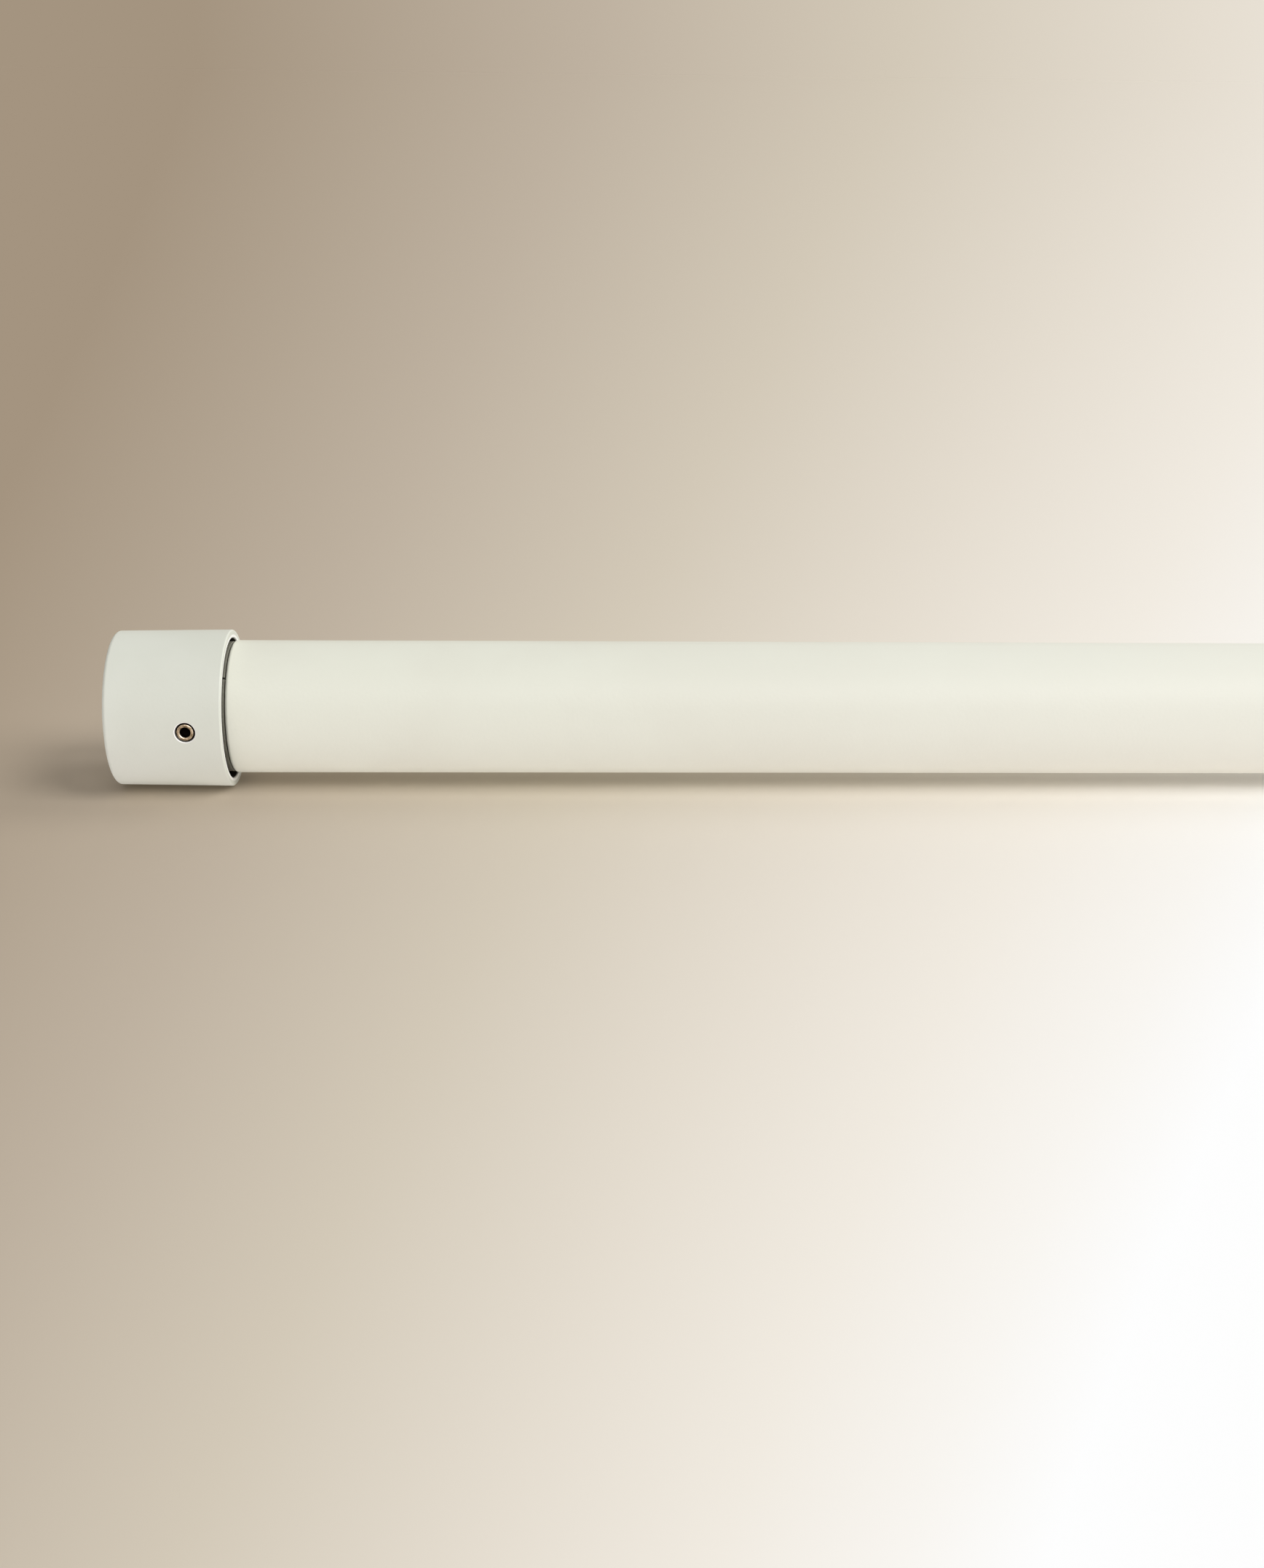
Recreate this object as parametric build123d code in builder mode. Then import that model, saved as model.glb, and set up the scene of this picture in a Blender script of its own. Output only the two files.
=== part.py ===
from build123d import *
from math import sqrt
import os

# Extendable curtain rod, pushed together.
# X runs along the rod with the sliding tube's cap at -X, +Z is up, and the origin lies on the
# tubes' common axis, halfway along the outer tube. The grub screws face -Y.

# Overall
closed_length = 1200.0      # over both caps, with the rod pushed together

# Tubes
outer_diameter = 28.0
outer_wall = 1.0
lip_radius = 0.7            # outside bend of the mouth, which is rolled in over the inner tube
lip_length = 1.0            # along the axis
lip_clearance = 0.10        # radial, between the rolled lip and the inner tube
tube_gap = 0.5              # radial, between the two tubes behind the lip
inner_wall = 0.8
edge_break = 0.15           # on cut tube ends and moulded edges

# Bead rolled into the inner tube, which holds the glide bush
bead_setback = 12.0         # from the tube's hidden end
bead_width = 4.0
bead_depth = 0.6

# End caps
cap_length = 24.0
cap_bore_slack = 0.8        # radial, so that the cap slips over the painted outer tube
cap_wall = 1.7              # at the mouth
cap_draft = 0.3             # radial, towards the closed end
cap_floor = 2.2
cap_end_fillet = 0.8
cap_mouth_fillet = 0.3
cap_gap = 0.25              # from the left cap's mouth to the outer tube
screw_land_height = 1.0     # flat inside the bore that thickens the wall for the thread
screw_land_setback = 3.0    # the flat stops short of the mouth
seat_clearance = 0.10       # along the axis, between pieces stacked in a cap
contact_clearance = 0.05    # radial, where a piece is pushed against the bore's far side
screw_hole_chamfer = 0.2    # breaks the paint's edge round the screw

# Grub screws, M4 with a cup point
screw_diameter = 4.0
screw_clearance = 0.05      # radial, in the tapped hole
screw_setback = 7.3         # from the cap's mouth to the screw's axis
left_screw_length = 4.0
right_screw_length = 3.0
socket_flats = 2.0
socket_depth = 1.5
cup_diameter = 2.0
cup_depth = 0.5
screw_end_chamfer = 0.4
point_clearance = 0.03

# Adapter sleeve, which fills the left cap's bore on the thinner tube
sleeve_step = 0.25          # radial, by which it stays below the outer tube
sleeve_clearance = 0.05     # radial, on the inner tube
sleeve_stand_out = 0.10     # past the cap's mouth
sleeve_stop = 1.0           # thickness of the inward rim that the tube's end meets
sleeve_stop_depth = 1.2     # how far that rim reaches in
sleeve_slit = 0.4
sleeve_slit_angle = 43.0    # above the screw's direction
sleeve_seat_depth = 0.5     # dimple for the screw's point
sleeve_seat_clearance = 0.2

# Glide bush
bush_collar_length = 14.0
bush_collar_clearance = 0.08
bush_collar_chamfer = 0.6
bush_channels = 6
bush_channel_width = 4.0
bush_channel_depth = 0.7
bush_spigot_length = 24.0
bush_spigot_clearance = 0.05
bush_spigot_chamfer = 0.5
bush_wall = 2.65            # of the spigot
bush_fingers = 4
bush_slot_width = 2.0
bush_slot_root = 3.0        # solid ring left between the slots and the collar
bush_groove_side = 0.25     # room beside the bead
bush_groove_clearance = 0.08
bush_rear_room = 19.0       # free length behind the bush

outer_radius = outer_diameter / 2
outer_bore_radius = outer_radius - outer_wall
inner_radius = outer_bore_radius - tube_gap
inner_bore_radius = inner_radius - inner_wall
lip_bore_radius = inner_radius + lip_clearance
cap_bore_radius = outer_radius + cap_bore_slack
cap_mouth_radius = cap_bore_radius + cap_wall
cap_end_radius = cap_mouth_radius - cap_draft
screw_hole_radius = screw_diameter / 2 + screw_clearance
sleeve_bore_radius = inner_radius + sleeve_clearance
sleeve_radius = outer_radius - sleeve_step

# Places along the rod
outer_length = closed_length - cap_length - cap_gap - cap_floor - seat_clearance
mouth_x = -outer_length / 2
tail_x = outer_length / 2
left_cap_mouth_x = mouth_x - cap_gap
left_cap_floor_x = left_cap_mouth_x - cap_length + cap_floor
right_cap_floor_x = tail_x + seat_clearance
right_cap_mouth_x = right_cap_floor_x + cap_floor - cap_length
sleeve_start_x = left_cap_floor_x + seat_clearance
sleeve_end_x = left_cap_mouth_x + sleeve_stand_out
inner_start_x = sleeve_start_x + sleeve_stop + seat_clearance
bush_end_x = tail_x - bush_rear_room
bush_shoulder_x = bush_end_x - bush_collar_length
inner_end_x = bush_shoulder_x - seat_clearance
bead_x = inner_end_x - bead_setback

# A tightened screw pushes what is in the cap against the far side of the bore
left_cap_shift = cap_bore_radius - sleeve_radius - contact_clearance
right_cap_shift = cap_bore_radius - outer_radius - contact_clearance

rod_axis = Axis.X


def radial_plane(x, outward=1, shift=0.0):
    """Local X runs along the rod, away from x, and local Y is the distance from the axis."""
    return Plane(origin=(x, -shift, 0), x_dir=(outward, 0, 0), z_dir=(0, -outward, 0))


def screw_plane(x, height=0.0):
    """Faces -Y at a height above the rod's axis, with local X along the rod."""
    return Plane(origin=(x, -height, 0), x_dir=(1, 0, 0), z_dir=(0, -1, 0))


def flat_faces_along(piece, outward):
    """Flat faces across the rod, from a cap's mouth to its closed end."""
    return piece.faces().filter_by(Plane.YZ).sort_by(Axis.X)[::outward]


def end_cap(name, mouth, outward, shift):
    """A drafted cup with its mouth at x = mouth, closed at the far end."""
    with BuildPart() as cap:
        with BuildSketch(radial_plane(mouth, outward, shift)):
            with BuildLine():
                Polyline(
                    (0, 0),
                    (0, cap_mouth_radius),
                    (cap_length, cap_end_radius),
                    (cap_length, 0),
                    close=True,
                )
            make_face()
        axis = Axis((mouth, -shift, 0), (1, 0, 0))
        revolve(axis=axis)
        mouth_face, end_face = flat_faces_along(cap, outward)
        fillet(end_face.edges(), cap_end_fillet)
        mouth_face, end_face = flat_faces_along(cap, outward)
        fillet(mouth_face.edges(), cap_mouth_fillet)

        bore_plane = Plane(origin=(mouth, -shift, 0), x_dir=(0, 1, 0), z_dir=(outward, 0, 0))
        with BuildSketch(bore_plane):
            Circle(cap_bore_radius)
        extrude(amount=screw_land_setback, mode=Mode.SUBTRACT)
        with BuildSketch(bore_plane.offset(screw_land_setback)):
            Circle(cap_bore_radius)
            with Locations((screw_land_height, 0)):
                Rectangle(2 * cap_bore_radius, 2 * cap_bore_radius, mode=Mode.INTERSECT)
        extrude(amount=cap_length - cap_floor - screw_land_setback, mode=Mode.SUBTRACT)
        mouth_face = flat_faces_along(cap, outward)[0]
        chamfer(mouth_face.edges().sort_by(SortBy.RADIUS)[0], edge_break)

        with BuildSketch(screw_plane(mouth + outward * screw_setback, shift)):
            Circle(screw_hole_radius)
        extrude(amount=cap_mouth_radius, mode=Mode.SUBTRACT)
        screw_hole = cap.faces().filter_by(GeomType.CYLINDER).sort_by(SortBy.RADIUS)[0]
        chamfer(screw_hole.edges().sort_by(Axis.Y)[0], screw_hole_chamfer)
    cap.part.label = name
    export_step(cap.part, f"parts/{name}.step")


def grub_screw(name, x, point, length):
    """A headless screw with a hex socket and a cup point, its point at y = -point."""
    screw_radius = screw_diameter / 2
    cup_radius = cup_diameter / 2
    point_length = screw_radius - cup_radius
    plane = Plane(origin=(x, 0, 0), x_dir=(1, 0, 0), z_dir=(0, 0, 1))
    with BuildPart() as screw:
        with BuildSketch(plane):
            with BuildLine():
                Polyline(
                    (0, -point - cup_depth),
                    (cup_radius, -point),
                    (screw_radius, -point - point_length),
                    (screw_radius, -point - length + screw_end_chamfer),
                    (screw_radius - screw_end_chamfer, -point - length),
                    (0, -point - length),
                    close=True,
                )
            make_face()
        revolve(axis=Axis((x, 0, 0), (0, 1, 0)))
        with BuildSketch(screw_plane(x, point + length)):
            RegularPolygon(socket_flats / 2, 6, major_radius=False)
        extrude(amount=-socket_depth, mode=Mode.SUBTRACT)
    screw.part.label = name
    export_step(screw.part, f"parts/{name}.step")


os.makedirs("parts", exist_ok=True)

# Outer tube, with its mouth rolled in to guide the inner tube
with BuildPart() as outer_tube:
    with BuildSketch(radial_plane(mouth_x)):
        with BuildLine():
            Polyline(
                (0, outer_radius),
                (outer_length, outer_radius),
                (outer_length, outer_bore_radius),
                (lip_length, outer_bore_radius),
                (lip_length, lip_bore_radius),
                (0, lip_bore_radius),
                close=True,
            )
        make_face()
    revolve(axis=rod_axis)
    mouth_rims = outer_tube.faces().filter_by(Plane.YZ).sort_by(Axis.X)[0].edges()
    fillet(mouth_rims.sort_by(SortBy.RADIUS)[-1], lip_radius)
    mouth_rims = outer_tube.faces().filter_by(Plane.YZ).sort_by(Axis.X)[0].edges()
    fillet(mouth_rims.sort_by(SortBy.RADIUS)[0], edge_break)
outer_tube.part.label = "outer_tube"
export_step(outer_tube.part, "parts/outer_tube.step")

# Inner tube, with a bead rolled in near its hidden end
bead_arc_radius = (bead_width**2 / 4 + bead_depth**2) / (2 * bead_depth)
bead_inside_radius = bead_arc_radius + inner_wall
bead_inside_width = 2 * sqrt(bead_inside_radius**2 - (bead_inside_radius - bead_depth) ** 2)
inner_length = inner_end_x - inner_start_x
bead_place = bead_x - inner_start_x
with BuildPart() as inner_tube:
    with BuildSketch(radial_plane(inner_start_x)):
        with BuildLine():
            Line((0, inner_radius), (bead_place - bead_width / 2, inner_radius))
            ThreePointArc(
                (bead_place - bead_width / 2, inner_radius),
                (bead_place, inner_radius - bead_depth),
                (bead_place + bead_width / 2, inner_radius),
            )
            Polyline(
                (bead_place + bead_width / 2, inner_radius),
                (inner_length, inner_radius),
                (inner_length, inner_bore_radius),
                (bead_place + bead_inside_width / 2, inner_bore_radius),
            )
            ThreePointArc(
                (bead_place + bead_inside_width / 2, inner_bore_radius),
                (bead_place, inner_bore_radius - bead_depth),
                (bead_place - bead_inside_width / 2, inner_bore_radius),
            )
            Polyline(
                (bead_place - bead_inside_width / 2, inner_bore_radius),
                (0, inner_bore_radius),
                (0, inner_radius),
            )
        make_face()
    revolve(axis=rod_axis)
inner_tube.part.label = "inner_tube"
export_step(inner_tube.part, "parts/inner_tube.step")

# Split sleeve between the inner tube and the left cap
left_screw_x = left_cap_mouth_x - screw_setback
left_seat_depth = sleeve_radius - sleeve_seat_depth
with BuildPart() as adapter_sleeve:
    with BuildSketch(radial_plane(sleeve_start_x)):
        with BuildLine():
            Polyline(
                (0, sleeve_bore_radius - sleeve_stop_depth),
                (0, sleeve_radius),
                (sleeve_end_x - sleeve_start_x, sleeve_radius),
                (sleeve_end_x - sleeve_start_x, sleeve_bore_radius),
                (sleeve_stop, sleeve_bore_radius),
                (sleeve_stop, sleeve_bore_radius - sleeve_stop_depth),
                close=True,
            )
        make_face()
    revolve(axis=rod_axis)
    rims = adapter_sleeve.edges().filter_by(GeomType.CIRCLE)
    chamfer(rims.group_by(SortBy.RADIUS)[-1], edge_break)
    with BuildSketch(Plane.YZ.offset(sleeve_start_x)):
        with PolarLocations(sleeve_radius, 1, start_angle=180 - sleeve_slit_angle):
            Rectangle(sleeve_radius, sleeve_slit)
    extrude(amount=sleeve_end_x - sleeve_start_x, mode=Mode.SUBTRACT)
    with BuildSketch(screw_plane(left_screw_x, left_seat_depth)):
        Circle(screw_diameter / 2 + sleeve_seat_clearance)
    extrude(amount=sleeve_radius, mode=Mode.SUBTRACT)
adapter_sleeve.part.label = "adapter_sleeve"
export_step(adapter_sleeve.part, "parts/adapter_sleeve.step")

# Glide bush: a slotted spigot snaps over the bead, and a collar runs in the outer tube
bush_spigot_radius = inner_bore_radius - bush_spigot_clearance
bush_bore_radius = bush_spigot_radius - bush_wall
bush_collar_radius = outer_bore_radius - bush_collar_clearance
bush_groove_radius = inner_bore_radius - bead_depth - bush_groove_clearance
bush_groove_width = bead_inside_width + 2 * bush_groove_side
bush_length = bush_spigot_length + bush_collar_length
bush_start_x = bush_shoulder_x - bush_spigot_length
groove_place = bead_x - bush_start_x
with BuildPart() as glide_bush:
    with BuildSketch(radial_plane(bush_start_x)):
        with BuildLine():
            Polyline(
                (0, bush_bore_radius),
                (0, bush_spigot_radius - bush_spigot_chamfer),
                (bush_spigot_chamfer, bush_spigot_radius),
                (groove_place - bush_groove_width / 2, bush_spigot_radius),
                (groove_place - bush_groove_width / 2, bush_groove_radius),
                (groove_place + bush_groove_width / 2, bush_groove_radius),
                (groove_place + bush_groove_width / 2, bush_spigot_radius),
                (bush_spigot_length, bush_spigot_radius),
                (bush_spigot_length, bush_collar_radius - bush_collar_chamfer),
                (bush_spigot_length + bush_collar_chamfer, bush_collar_radius),
                (bush_length - bush_collar_chamfer, bush_collar_radius),
                (bush_length, bush_collar_radius - bush_collar_chamfer),
                (bush_length, bush_bore_radius),
                close=True,
            )
        make_face()
    revolve(axis=rod_axis)
    with BuildSketch(Plane.YZ.offset(bush_shoulder_x)):
        with PolarLocations(bush_collar_radius, bush_channels):
            Rectangle(2 * bush_channel_depth, bush_channel_width)
    extrude(amount=bush_collar_length, mode=Mode.SUBTRACT)
    with BuildSketch(Plane.YZ.offset(bush_start_x)):
        with PolarLocations(bush_spigot_radius, bush_fingers):
            Rectangle(4 * bush_wall, bush_slot_width)
    extrude(amount=bush_spigot_length - bush_slot_root, mode=Mode.SUBTRACT)
glide_bush.part.label = "glide_bush"
export_step(glide_bush.part, "parts/glide_bush.step")

# The same cap at both ends
end_cap("end_cap_left", left_cap_mouth_x, -1, left_cap_shift)
end_cap("end_cap_right", right_cap_mouth_x, 1, right_cap_shift)

# Each screw's point stands on what it presses
left_point = left_seat_depth + point_clearance
right_point = outer_radius + point_clearance
right_screw_x = right_cap_mouth_x + screw_setback
grub_screw("grub_screw_left", left_screw_x, left_point, left_screw_length)
grub_screw("grub_screw_right", right_screw_x, right_point, right_screw_length)
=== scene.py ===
import math

import bmesh
import bpy
from mathutils import Matrix, Vector


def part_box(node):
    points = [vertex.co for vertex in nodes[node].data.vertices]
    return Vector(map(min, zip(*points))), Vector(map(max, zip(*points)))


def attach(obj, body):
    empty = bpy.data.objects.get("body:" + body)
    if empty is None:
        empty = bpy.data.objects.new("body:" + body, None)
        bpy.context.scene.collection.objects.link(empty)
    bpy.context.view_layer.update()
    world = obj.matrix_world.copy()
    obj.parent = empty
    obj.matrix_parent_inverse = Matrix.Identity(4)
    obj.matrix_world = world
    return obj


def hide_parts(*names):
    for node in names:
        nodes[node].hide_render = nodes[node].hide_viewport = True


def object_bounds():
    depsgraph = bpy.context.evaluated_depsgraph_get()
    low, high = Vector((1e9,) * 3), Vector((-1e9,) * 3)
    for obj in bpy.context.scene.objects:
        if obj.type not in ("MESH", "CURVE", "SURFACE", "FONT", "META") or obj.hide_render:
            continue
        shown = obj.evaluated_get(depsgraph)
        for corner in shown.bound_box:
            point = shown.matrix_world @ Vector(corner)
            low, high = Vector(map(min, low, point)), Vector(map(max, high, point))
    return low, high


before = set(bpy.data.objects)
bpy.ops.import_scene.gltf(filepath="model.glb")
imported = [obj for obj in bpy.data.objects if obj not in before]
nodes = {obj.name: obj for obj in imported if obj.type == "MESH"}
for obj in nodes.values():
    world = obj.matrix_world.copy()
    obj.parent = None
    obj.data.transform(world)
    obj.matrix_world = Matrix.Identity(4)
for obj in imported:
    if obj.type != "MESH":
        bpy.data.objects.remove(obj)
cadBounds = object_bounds()
print("frame loaded:", ", ".join(sorted(nodes)))

# Lengths in this file are in metres, and tones are sRGB values from 0 to 255


# Shader maths: a Signal is one output socket, and Python's operators on it add Math nodes
class Signal:
    def __init__(self, tree, socket=None):
        self.tree = tree
        self.socket = socket

    def node(self, kind, settings=None, sockets=None, out=0):
        made = self.tree.nodes.new("ShaderNode" + kind)
        for name, value in (settings or {}).items():
            if name == "stops":
                ramp = made.color_ramp
                while len(ramp.elements) < len(value):
                    ramp.elements.new(1.0)
                for element, (place, colour) in zip(ramp.elements, value):
                    element.position = place
                    element.color = colour
            else:
                setattr(made, name, value)
        for name, value in (sockets or {}).items():
            if isinstance(value, Signal):
                self.tree.links.new(value.socket, made.inputs[name])
            else:
                made.inputs[name].default_value = value
        return Signal(self.tree, made.outputs[out] if made.outputs else None)

    def maths(self, operation, other=0.0):
        return self.node("Math", {"operation": operation}, {0: self, 1: other})

    def __add__(self, other):
        return self.maths("ADD", other)

    __radd__ = __add__

    def __sub__(self, other):
        return self.maths("SUBTRACT", other)

    def __rsub__(self, other):
        return self.node("Math", {"operation": "SUBTRACT"}, {0: other, 1: self})

    def __mul__(self, other):
        return self.maths("MULTIPLY", other)

    __rmul__ = __mul__

    def __truediv__(self, other):
        return self.maths("DIVIDE", other)

    def __pow__(self, other):
        return self.maths("POWER", other)

    # 0 below low, 1 above high, and a smooth step between
    def rise(self, low, high):
        return self.node("MapRange", {"interpolation_type": "SMOOTHSTEP"},
                         {"Value": self, "From Min": low, "From Max": high})

    # 1 beyond the place, 0 before it, with a soft edge that reaches blur to each side
    def past(self, place, blur):
        return self.rise(place - blur, place + blur)

    # 1 before the place, 0 beyond it
    def within(self, place, blur):
        return 1 - self.past(place, blur)

    # from one colour to another as this signal goes from 0 to 1
    def blend(self, first, second):
        return self.node("Mix", {"data_type": "RGBA"}, {0: self, 6: first, 7: second}, out=2)


# what a colour picker shows, as the linear colour that shaders use
def tone(red, green, blue):
    linear = [c / 255 / 12.92 if c <= 10 else ((c / 255 + 0.055) / 1.055) ** 2.4
              for c in (red, green, blue)]
    return (*linear, 1.0)


def startFinish(name):
    material = bpy.data.materials.new(name)
    material.use_nodes = True
    material.node_tree.nodes.clear()
    start = Signal(material.node_tree)
    coords = start.node("TexCoord", out="Object")
    return material, start, coords


def endFinish(start, sockets):
    shader = start.node("BsdfPrincipled", None, sockets)
    start.node("OutputMaterial", None, {"Surface": shader})


def noise(coords, size, detail=2.0, roughness=0.5):
    return coords.node("TexNoise", None, {
        "Vector": coords, "Scale": 1 / size, "Detail": detail, "Roughness": roughness})


# two close colours in soft clouds
def mottle(pattern, dark, light, low=0.35, high=0.65):
    return pattern.rise(low, high).blend(dark, light)


# a height as a bump, on top of another bump if there is one under it
def bump(height, under=None, strength=1.0):
    sockets = {"Height": height, "Distance": 1.0, "Strength": strength}
    if under:
        sockets["Normal"] = under
    return height.node("Bump", None, sockets)


# the three coordinates, moved so that the given point is the origin
def splitFrom(coords, point=(0, 0, 0)):
    moved = coords.node("VectorMath", {"operation": "SUBTRACT"}, {0: coords, 1: point})
    return [moved.node("SeparateXYZ", None, {0: moved}, out=axis) for axis in "XYZ"]


def distanceFrom(first, second):
    return (first * first + second * second) ** 0.5


def middle(box):
    low, high = box
    return tuple((a + b) / 2 for a, b in zip(low, high))


def addObject(name, data):
    made = bpy.data.objects.new(name, data)
    bpy.context.collection.objects.link(made)
    return made


def addMesh(name, mesh):
    data = bpy.data.meshes.new(name)
    mesh.to_mesh(data)
    mesh.free()
    return addObject(name, data)


# Places that the finishes and the screws need, from the frame
sides = ("left", "right")
capBox = {side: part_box("end_cap_" + side) for side in sides}
screwBox = {side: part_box("grub_screw_" + side) for side in sides}
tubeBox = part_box("outer_tube")

# Powder coat: a hard satin skin with a faint orange-peel surface
powderCoat = {
    "cloudSize": 0.030,
    "cloudRoughness": 0.05,
    "peelSize": 0.0007,
    "peelDepth": 0.000016,
    "grainSize": 0.00016,
    "grainDepth": 0.000004,
    "shine": 0.35,
    "bareMetallic": 0.9,
    "edgeBlur": 0.0001,
    "spraySize": 0.002,
}


def paintBump(coords):
    peel = noise(coords, powderCoat["peelSize"], detail=1.0)
    grain = noise(coords, powderCoat["grainSize"], detail=0.0)
    return bump(peel * powderCoat["peelDepth"] + grain * powderCoat["grainDepth"])


# paint, with the metal under it where bare is 1
def endPaint(start, paint, metal, bare, roughness, normal):
    endFinish(start, {
        "Base Color": bare.blend(paint, metal),
        "Metallic": bare * powderCoat["bareMetallic"],
        "Roughness": roughness,
        "Specular IOR Level": powderCoat["shine"],
        "Normal": normal,
    })


tubePaint = {
    "light": tone(227, 228, 214),
    "dark": tone(224, 224, 210),
    "paintedLightTone": tone(235, 235, 223),
    "paintedLightFrom": 0.01,
    "paintedLightTo": 0.25,
    "roughness": 0.44,
    "bareSteel": tone(150, 150, 146),
    "bareRadius": 0.0133,
    "bareFrom": 0.004,
    "sprayReach": 0.004,
    "sprayBlur": 0.002,
    "innerBareRadius": 0.0120,
    "rubTone": tone(206, 207, 195),
    "rubSize": 0.0009,
    "rubLength": 0.25,
    "rubFrom": 0.56,
    "rubTo": 0.72,
    "rubCover": 0.5,
    "rubGloss": 0.12,
}


# rub lines run along the inner tube, where it slides through the outer tube's rounded mouth
def makeInnerTubePaint():
    material, start, coords = startFinish("innerTubePaint")
    _, y, z = splitFrom(coords)
    cloud = noise(coords, powderCoat["cloudSize"], detail=3.0)
    along = coords.node("Mapping", {"vector_type": "POINT"}, {
        "Vector": coords, "Scale": (tubePaint["rubSize"] / tubePaint["rubLength"], 1, 1)})
    rub = noise(along, tubePaint["rubSize"], detail=3.0).rise(tubePaint["rubFrom"], tubePaint["rubTo"])
    paint = mottle(cloud, tubePaint["dark"], tubePaint["light"])
    paint = (rub * tubePaint["rubCover"]).blend(paint, tubePaint["rubTone"])
    bare = distanceFrom(y, z).within(tubePaint["innerBareRadius"], powderCoat["edgeBlur"])
    roughness = tubePaint["roughness"] + cloud * powderCoat["cloudRoughness"] - (
        rub * tubePaint["rubGloss"])
    endPaint(start, paint, tubePaint["bareSteel"], bare, roughness, paintBump(coords))
    return material


def makeTubePaint():
    material, start, coords = startFinish("tubePaint")
    x, y, z = splitFrom(coords)
    cloud = noise(coords, powderCoat["cloudSize"], detail=3.0)
    # painted light: the coat is painted a touch paler away from the ends, standing in for light that
    # falls off towards them
    halfLength = (tubeBox[1][0] - tubeBox[0][0]) / 2
    fromMiddle = (x - middle(tubeBox)[0]).maths("ABSOLUTE")
    inward = halfLength - fromMiddle
    paint = mottle(cloud, tubePaint["dark"], tubePaint["light"])
    paint = inward.rise(tubePaint["paintedLightFrom"], tubePaint["paintedLightTo"]).blend(paint, tubePaint["paintedLightTone"])
    # the bore stays bare, zinc-coated steel, and paint reaches only a little way into its ends
    spray = noise(coords, powderCoat["spraySize"]) * tubePaint["sprayReach"]
    bare = distanceFrom(y, z).within(tubePaint["bareRadius"], powderCoat["edgeBlur"]) * (
        (fromMiddle + spray).within(halfLength - tubePaint["bareFrom"], tubePaint["sprayBlur"]))
    roughness = tubePaint["roughness"] + cloud * powderCoat["cloudRoughness"]
    endPaint(start, paint, tubePaint["bareSteel"], bare, roughness, paintBump(coords))
    return material


capPaint = {
    "light": tone(218, 220, 209),
    "dark": tone(214, 216, 204),
    "roughness": 0.46,
    "bareZinc": tone(178, 176, 170),
    "boreZincAndShade": tone(84, 79, 72),
    "boreRadius": 0.0149,
    "boreFrom": 0.00045,
    "boreFromBlur": 0.00015,
    "boreTo": 0.0225,
    "boreToBlur": 0.0003,
    "sprayReach": 0.0002,
    "edgeHighlightTone": tone(250, 250, 245),
    "mouthRadius": 0.01545,
    "mouthBlur": 0.00008,
    "mouthDepth": 0.0007,
    "holeRadius": 0.00207,
    "highlightRadius": 0.00227,
    "holeBlur": 0.00003,
    "screwSide": -0.0085,
    "screwSideBlur": 0.0005,
    "threadPitch": 0.0007,
    "threadDepth": 0.0002,
}


def makeCapPaint(side):
    material, start, coords = startFinish("capPaint" + side.capitalize())
    capMiddle = middle(capBox[side])
    mouthX = capBox[side][1][0] if side == "left" else capBox[side][0][0]
    outward = -1 if side == "left" else 1
    x, y, z = splitFrom(coords, (mouthX, capMiddle[1], capMiddle[2]))
    cloud = noise(coords, powderCoat["cloudSize"], detail=3.0)
    radius = distanceFrom(y, z)
    depth = x * outward + noise(coords, powderCoat["spraySize"]) * capPaint["sprayReach"]
    # the bore is bare zinc, painted darker as shade inside the narrow gap
    bore = radius.within(capPaint["boreRadius"], powderCoat["edgeBlur"]) * (
        depth.past(capPaint["boreFrom"], capPaint["boreFromBlur"])) * (
        depth.within(capPaint["boreTo"], capPaint["boreToBlur"]))
    # painted highlight: the mouth's inner edge is painted a bright near-white
    mouthHighlight = radius.within(capPaint["mouthRadius"], capPaint["mouthBlur"]) * (
        depth.within(capPaint["mouthDepth"], powderCoat["edgeBlur"]))
    # the tapped hole is bare metal, and a bright ring round it is a painted highlight
    holeX, holeY, holeZ = splitFrom(coords, middle(screwBox[side]))
    holeRadius = distanceFrom(holeX, holeZ)
    screwSide = y.within(capPaint["screwSide"], capPaint["screwSideBlur"])
    hole = holeRadius.within(capPaint["holeRadius"], capPaint["holeBlur"]) * screwSide
    holeHighlight = holeRadius.within(capPaint["highlightRadius"], capPaint["holeBlur"]) * screwSide
    paint = mottle(cloud, capPaint["dark"], capPaint["light"])
    paint = holeHighlight.maths("MAXIMUM", mouthHighlight).blend(paint, capPaint["edgeHighlightTone"])
    metal = hole.blend(capPaint["boreZincAndShade"], capPaint["bareZinc"])
    turns = (holeY * (2 * math.pi / capPaint["threadPitch"])).maths("SINE")
    thread = bump(turns * hole * capPaint["threadDepth"], under=paintBump(coords))
    roughness = capPaint["roughness"] + cloud * powderCoat["cloudRoughness"]
    endPaint(start, paint, metal, bore.maths("MAXIMUM", hole), roughness, thread)
    return material


sleevePlastic = {
    "light": tone(119, 117, 104),
    "dark": tone(103, 102, 90),
    "roughness": 0.55,
    "grainSize": 0.0004,
    "grainDepth": 0.000008,
    "grainRoughness": 0.1,
}


def makeSleevePlastic():
    material, start, coords = startFinish("sleevePlastic")
    grain = noise(coords, sleevePlastic["grainSize"])
    endFinish(start, {
        "Base Color": mottle(grain, sleevePlastic["dark"], sleevePlastic["light"], low=0.3, high=0.7),
        "Roughness": sleevePlastic["roughness"] + grain * sleevePlastic["grainRoughness"],
        "Normal": bump(grain * sleevePlastic["grainDepth"]),
    })
    return material


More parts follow.
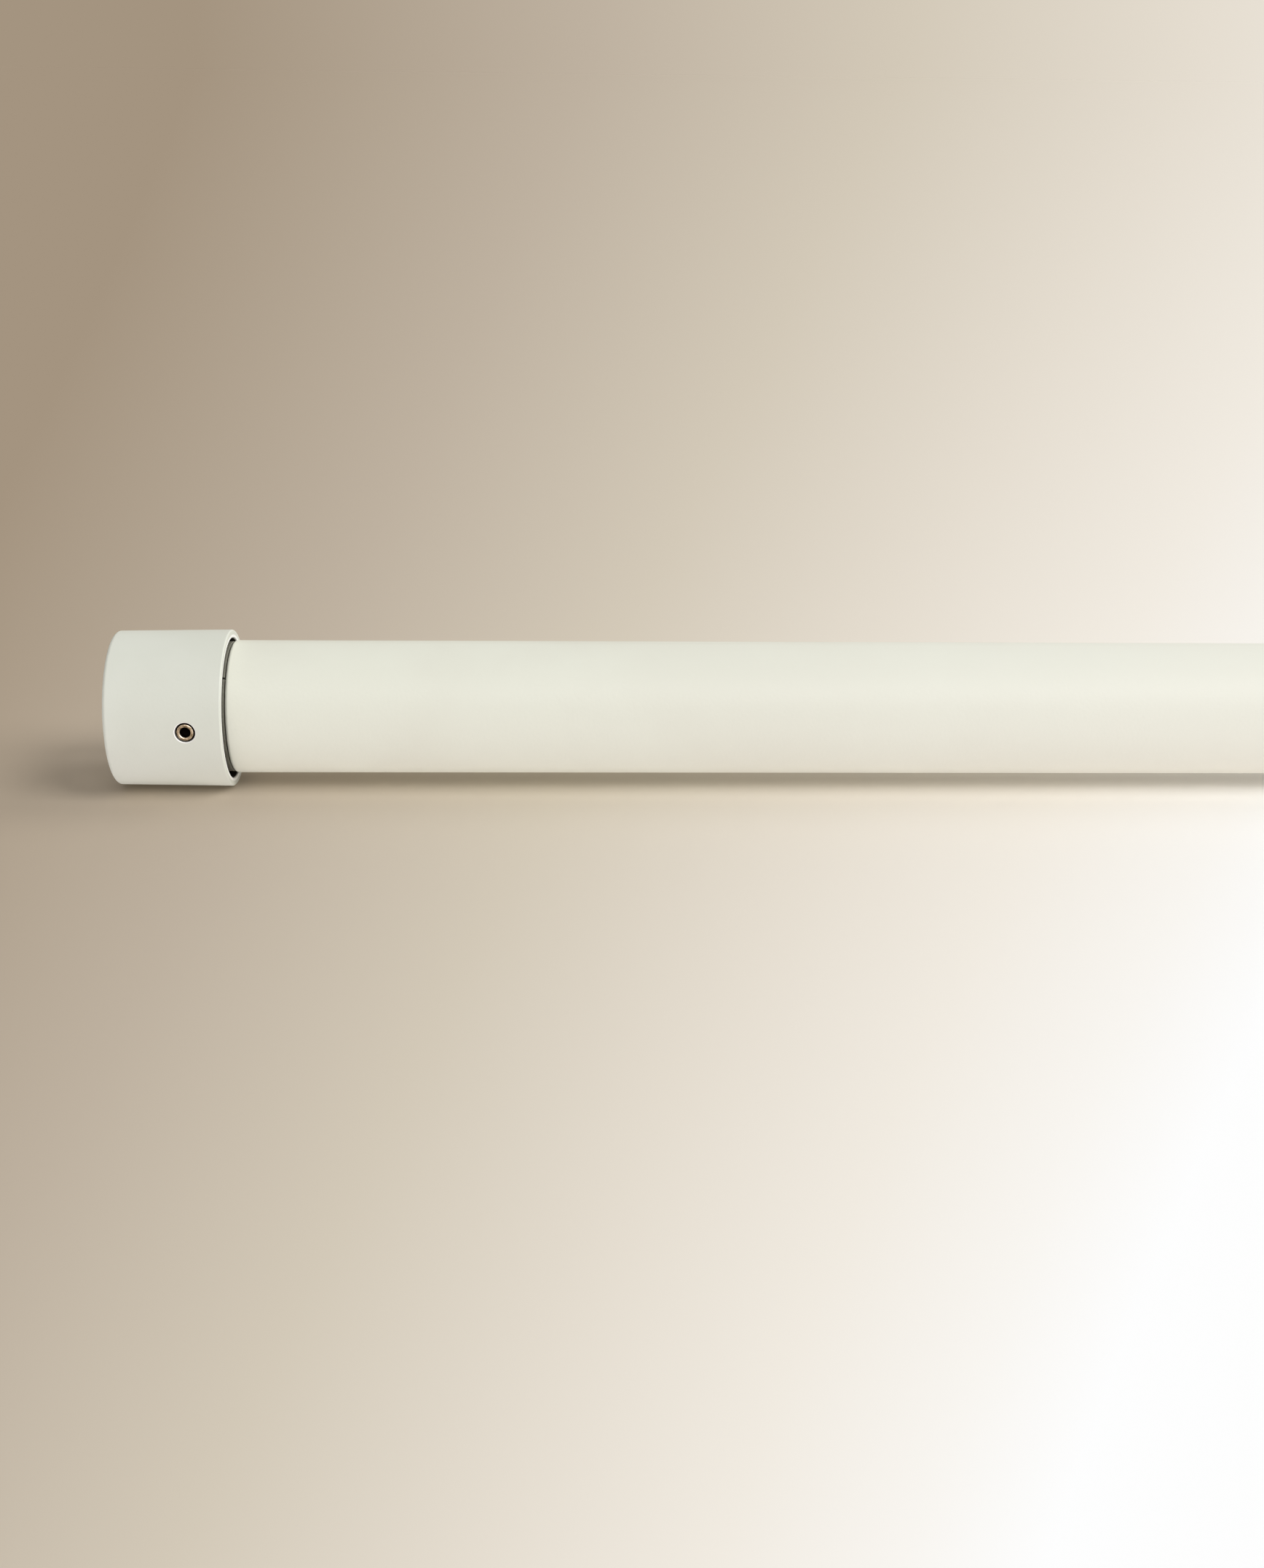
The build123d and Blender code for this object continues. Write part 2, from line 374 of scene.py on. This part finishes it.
bushPlastic = {
    "light": tone(58, 58, 57),
    "dark": tone(46, 46, 46),
    "roughness": 0.42,
    "cloudSize": 0.004,
    "cloudRoughness": 0.1,
    "grainSize": 0.0003,
    "grainDepth": 0.000004,
}


def makeBushPlastic():
    material, start, coords = startFinish("bushPlastic")
    cloud = noise(coords, bushPlastic["cloudSize"], detail=3.0)
    grain = noise(coords, bushPlastic["grainSize"])
    endFinish(start, {
        "Base Color": cloud.blend(bushPlastic["dark"], bushPlastic["light"]),
        "Roughness": bushPlastic["roughness"] + cloud * bushPlastic["cloudRoughness"],
        "Normal": bump(grain * bushPlastic["grainDepth"]),
    })
    return material


screwPlate = {
    "light": tone(248, 232, 211),
    "dark": tone(176, 159, 134),
    "roughness": 0.34,
    "edgeBlur": 0.00002,
    "wearSize": 0.0005,
    "wearRoughness": 0.12,
    "markSize": 0.00012,
    "markDepth": 0.00001,
    "markStrength": 0.6,
    "socketShadeTone": tone(24, 20, 17),
    "socketRadius": 0.001135,
    "socketBlur": 0.000015,
    "socketEnd": 0.0001,
    "socketEndBlur": 0.0001,
    "socketRoughness": 0.3,
    "sinkRadius": 0.00124,
    "sinkDepth": 0.000165,
    "sinkDepthBlur": 0.000035,
    "threadShadeTone": tone(58, 50, 42),
    "threadRadius": 0.00177,
    "deepRadius": 0.00135,
    "deepRadiusBlur": 0.00005,
}


def makeScrewPlate(side):
    material, start, coords = startFinish("screwPlate" + side.capitalize())
    x, y, z = splitFrom(coords, middle(screwBox[side]))
    radius = distanceFrom(x, z)
    # turning marks are rings round the screw's axis
    marks = radius.node("TexNoise", {"noise_dimensions": "1D"}, {
        "W": radius, "Scale": 1 / screwPlate["markSize"], "Detail": 2.0})
    wear = noise(coords, screwPlate["wearSize"])
    halfLength = (screwBox[side][1][1] - screwBox[side][0][1]) / 2
    deep = (y + halfLength).past(screwPlate["sinkDepth"], screwPlate["sinkDepthBlur"])
    socket = radius.within(screwPlate["socketRadius"], screwPlate["socketBlur"])
    sink = radius.within(screwPlate["sinkRadius"], screwPlate["edgeBlur"]) * deep
    # painted shade: the socket and the countersink's deep part are painted near-black; the cup at the
    # other end is plated, so this painted shade stops halfway along
    socketHalf = y.within(screwPlate["socketEnd"], screwPlate["socketEndBlur"])
    socketShade = socket.maths("MAXIMUM", sink) * socketHalf
    # painted shade: the thread and the face's outer slope below the countersink's depth are painted
    # dark
    threadShade = radius.past(screwPlate["threadRadius"], screwPlate["edgeBlur"]).maths(
        "MAXIMUM", deep * radius.past(screwPlate["deepRadius"], screwPlate["deepRadiusBlur"]))
    plate = mottle(wear, screwPlate["dark"], screwPlate["light"])
    plate = threadShade.blend(plate, screwPlate["threadShadeTone"])
    roughness = screwPlate["roughness"] + wear * screwPlate["wearRoughness"] + (
        socketShade * screwPlate["socketRoughness"])
    endFinish(start, {
        "Base Color": socketShade.blend(plate, screwPlate["socketShadeTone"]),
        "Metallic": 1.0,
        "Roughness": roughness,
        "Normal": bump(marks * screwPlate["markDepth"], strength=screwPlate["markStrength"]),
    })
    return material


# Grub screws: a core with a socket and a cup, and the thread as a ridge wound round it
grubScrew = {
    "threadRadius": 0.00199,
    "rootRadius": 0.00157,
    "crown": [(0.00118, 0.00012), (0.00122, 0.00006), (0.00128, 0.00002), (0.00136, 0.0),
              (0.00153, 0.0), (0.00161, 0.00002), (0.00168, 0.00007), (0.00173, 0.00016)],
    "threadStart": 0.0005,
    "pointRadius": 0.00100,
    "cupDepth": 0.0005,
    "pitch": 0.0007,
    "crestWidth": 0.0001,
    "rootWidth": 0.00062,
    "buried": 0.00005,
    "socketFlats": 0.0020,
    "socketDepth": 0.0015,
    "sinkDepth": 0.00016,
    "drillDepth": 0.0003,
    "drillShrink": 0.02,
    "around": 72,
    "mergeReach": 1e-7,
    "sharpAngle": 28,
}


# spins the profile about Y, through the given X and Z; steps along Y make a helix
def spinAboutY(mesh, geometry, x, z, turns, steps, climb=0.0):
    bmesh.ops.spin(mesh, geom=geometry, cent=(x, 0, z), axis=(0, 1, 0), dvec=(0, climb / steps, 0),
                   angle=2 * math.pi * turns, steps=steps, use_merge=climb == 0, use_duplicate=False)


def profileEdges(mesh, points):
    corners = [mesh.verts.new(point) for point in points]
    return corners, [mesh.edges.new(pair) for pair in zip(corners, corners[1:])]


def makeGrubScrew(side):
    size = grubScrew
    low, high = screwBox[side]
    x, _, z = middle(screwBox[side])
    faceY, pointY = low[1], high[1]
    pointLength = size["rootRadius"] - size["pointRadius"]
    mesh = bmesh.new()

    # core, from the socket's edge over the crowned face and round the outside to the bottom of the cup
    outline = [(radius, faceY + depth) for radius, depth in size["crown"]] + [
        (size["rootRadius"], faceY + size["threadStart"]),
        (size["rootRadius"], pointY - pointLength),
        (size["pointRadius"], pointY),
        (0, pointY - size["cupDepth"]),
    ]
    corners, edges = profileEdges(mesh, [(x + radius, y, z) for radius, y in outline])
    spinAboutY(mesh, corners + edges, x, z, 1, size["around"])
    bmesh.ops.remove_doubles(mesh, verts=mesh.verts, dist=size["mergeReach"])

    # socket: a countersink down to a hexagon, which goes straight in to a shallow drill point
    hexRadius = size["socketFlats"] / 2 / math.cos(math.pi / 6)
    bmesh.ops.create_circle(mesh, cap_ends=False, segments=6, radius=hexRadius,
                            matrix=Matrix.Translation((x, faceY + size["sinkDepth"], z))
                            @ Matrix.Rotation(math.pi / 2, 4, "X"))
    hexEdges = [edge for edge in mesh.edges if edge.is_wire]
    bmesh.ops.subdivide_edges(mesh, edges=hexEdges, cuts=size["around"] // 6 - 1)
    openEdges = [edge for edge in mesh.edges if edge.is_boundary or edge.is_wire]
    bmesh.ops.bridge_loops(mesh, edges=openEdges)
    socketRim = [edge for edge in mesh.edges if edge.is_boundary]
    wall = (size["socketDepth"] - size["sinkDepth"], 1.0)
    drillPoint = (size["drillDepth"], size["drillShrink"])
    for depth, shrink in (wall, drillPoint):
        grown = bmesh.ops.extrude_edge_only(mesh, edges=socketRim)["geom"]
        ringVerts = [item for item in grown if isinstance(item, bmesh.types.BMVert)]
        bmesh.ops.scale(mesh, verts=ringVerts, vec=(shrink, 1, shrink),
                        space=Matrix.Translation((-x, 0, -z)))
        bmesh.ops.translate(mesh, verts=ringVerts, vec=(0, depth, 0))
        socketRim = [item for item in grown if isinstance(item, bmesh.types.BMEdge)]
    bmesh.ops.contextual_create(mesh, geom=socketRim)

    # thread, whose foot is buried in the core
    footRadius = size["rootRadius"] - size["buried"]
    wound = pointY - faceY - size["threadStart"] - pointLength - size["rootWidth"]
    turns = wound / size["pitch"]
    startY = faceY + size["threadStart"] + size["rootWidth"] / 2
    section = [
        (footRadius, startY - size["rootWidth"] / 2),
        (size["threadRadius"], startY - size["crestWidth"] / 2),
        (size["threadRadius"], startY + size["crestWidth"] / 2),
        (footRadius, startY + size["rootWidth"] / 2),
    ]
    corners = [mesh.verts.new((x + radius, y, z)) for radius, y in section]
    startFace = mesh.faces.new(corners)
    spinAboutY(mesh, [startFace, *startFace.edges, *startFace.verts], x, z, turns,
               round(size["around"] * turns), climb=wound)

    bmesh.ops.recalc_face_normals(mesh, faces=mesh.faces)
    screw = addMesh("grubScrew" + side.capitalize(), mesh)
    for face in screw.data.polygons:
        face.use_smooth = True
    screw.data.set_sharp_from_angle(angle=math.radians(size["sharpAngle"]))
    screw.data.materials.append(makeScrewPlate(side))
    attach(screw, side + "_screw")
    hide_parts("grub_screw_" + side)


def dress(name, material):
    for slot in nodes[name].material_slots:
        slot.material = material


dress("outer_tube", makeTubePaint())
dress("inner_tube", makeInnerTubePaint())
for side in sides:
    dress("end_cap_" + side, makeCapPaint(side))
dress("adapter_sleeve", makeSleevePlastic())
dress("glide_bush", makeBushPlastic())
print("finishes on the tubes, caps, sleeve and bush")

for side in sides:
    makeGrubScrew(side)
print("grub screws made")

# Camera, at the photograph's viewing angle
view = {
    "place": (-0.51530, -0.38499, 0.12749),
    "turn": -1.898,
    "down": 20.633,
    "roll": 0.717,
    "lens": 43.59,
    "sensor": 36.0,
    "nearest": 0.01,
    "furthest": 200,
}


def makeCamera():
    camera = addObject("camera", bpy.data.cameras.new("camera"))
    camera.data.lens = view["lens"]
    camera.data.sensor_width = view["sensor"]
    camera.data.clip_start = view["nearest"]
    camera.data.clip_end = view["furthest"]
    camera.matrix_world = (Matrix.Translation(view["place"])
                           @ Matrix.Rotation(math.radians(view["turn"]), 4, "Z")
                           @ Matrix.Rotation(math.radians(90 - view["down"]), 4, "X")
                           @ Matrix.Rotation(math.radians(view["roll"]), 4, "Z"))
    bpy.context.scene.camera = camera


makeCamera()

# Backdrop: painted light, warm beige at the back left, which pales to white at the front right, as the
# fall of light across the sheet
backdrop = {
    "stops": [
        (0.0, tone(164, 148, 128)),
        (0.25, tone(190, 177, 160)),
        (0.46, tone(211, 201, 184)),
        (0.65, tone(229, 221, 208)),
        (0.80, tone(241, 235, 225)),
        (0.92, tone(249, 246, 241)),
        (1.0, tone(254, 254, 254)),
    ],
    "farLevel": 0.453,
    "acrossGain": 1.346,
    "nearGain": 0.0896,
    "lean": 0.158,
    "spread": 0.156,
    "plainTone": tone(248, 246, 242),
    "plainFrom": 0.46,
    "plainTo": 0.95,
    "bounceTone": tone(253, 247, 246),
    "glowTone": tone(255, 249, 249),
    "glowLevel": 0.185,
    "halfSize": 60.0,
}


def backdropShade(side, back, spread, nearGain):
    reach = (side * side + back * back + spread * spread) ** 0.5
    across = (side - back * backdrop["lean"]) * backdrop["acrossGain"]
    level = backdrop["farLevel"] + (across + nearGain) / reach
    shade = level.node("ValToRGB", {"stops": backdrop["stops"]}, {"Fac": level})
    # far to the right it is one plain tone
    plain = (side / reach).rise(backdrop["plainFrom"], backdrop["plainTo"])
    return plain.blend(shade, backdrop["plainTone"])


# 1 for what the eye, a reflection or a clear material sees, and 0 for the light that a surface gathers
def seenRay(start):
    camera, glossy, through = [start.node("LightPath", out=name) for name in (
        "Is Camera Ray", "Is Glossy Ray", "Is Transmission Ray")]
    return camera.maths("MAXIMUM", glossy).maths("MAXIMUM", through)


def makeFloor():
    mesh = bmesh.new()
    bmesh.ops.create_grid(mesh, x_segments=1, y_segments=1, size=backdrop["halfSize"],
                          matrix=Matrix.Translation((0, 0, cadBounds[0][2])))
    sheet = addMesh("floor", mesh)

    material, start, coords = startFinish("floor")
    side, back, _ = splitFrom(coords, (view["place"][0], view["place"][1], 0))
    shade = backdropShade(side, back, backdrop["spread"], backdrop["nearGain"])
    # the sheet reflects and gives off an even light, whatever shade it shows
    seen = seenRay(start)
    endFinish(start, {
        "Base Color": seen.blend(backdrop["bounceTone"], shade),
        "Roughness": 1.0,
        "Specular IOR Level": 0.0,
        "Emission Color": seen.blend(backdrop["glowTone"], tone(0, 0, 0)),
        "Emission Strength": backdrop["glowLevel"],
    })
    sheet.data.materials.append(material)


makeFloor()
print("floor laid")

# Soft studio light: a sky that is brighter at the back, and broad lamps at the front and the right
light = {
    "sky": tone(255, 255, 255),
    "skyUp": 0.39,
    "skyBack": 1.13,
    "lampTone": tone(255, 255, 255)[:3],
    "lampAngle": 30.0,
    "lamps": {
        "frontRight": ((0.644, -0.372, 0.669), 1.60),
        "front": ((0.129, -0.732, 0.669), 0.83),
        "right": ((0.698, 0.254, 0.669), 0.68),
    },
}


# how much of a direction points to the signal's positive side
def facing(part):
    return part.maths("MAXIMUM", 0.0) ** 2.0


def makeSky():
    world = bpy.data.worlds.new("sky")
    world.use_nodes = True
    world.node_tree.nodes.clear()
    start = Signal(world.node_tree)
    side, back, up = splitFrom(start.node("TexCoord", out="Generated"))
    # the same painted light gradient, seen beyond the sheet and in reflections
    shade = backdropShade(side, back, spread=0.0, nearGain=0.0)
    beyond = start.node("Background", None, {"Color": shade, "Strength": 1.0})
    level = facing(back) * light["skyBack"] + facing(up) * light["skyUp"]
    sky = start.node("Background", None, {"Color": light["sky"], "Strength": level})
    both = start.node("MixShader", None, {0: seenRay(start), 1: sky, 2: beyond})
    start.node("OutputWorld", None, {"Surface": both})
    bpy.context.scene.world = world


def makeLamp(name, place, level):
    lamp = bpy.data.lights.new(name, "SUN")
    lamp.energy = level
    lamp.angle = math.radians(light["lampAngle"])
    lamp.color = light["lampTone"]
    addObject(name, lamp).rotation_euler = Vector(place).to_track_quat("Z", "Y").to_euler()


makeSky()
for name, (place, level) in light["lamps"].items():
    makeLamp(name, place, level)
bpy.context.scene.view_settings.view_transform = "Standard"
print("light set")
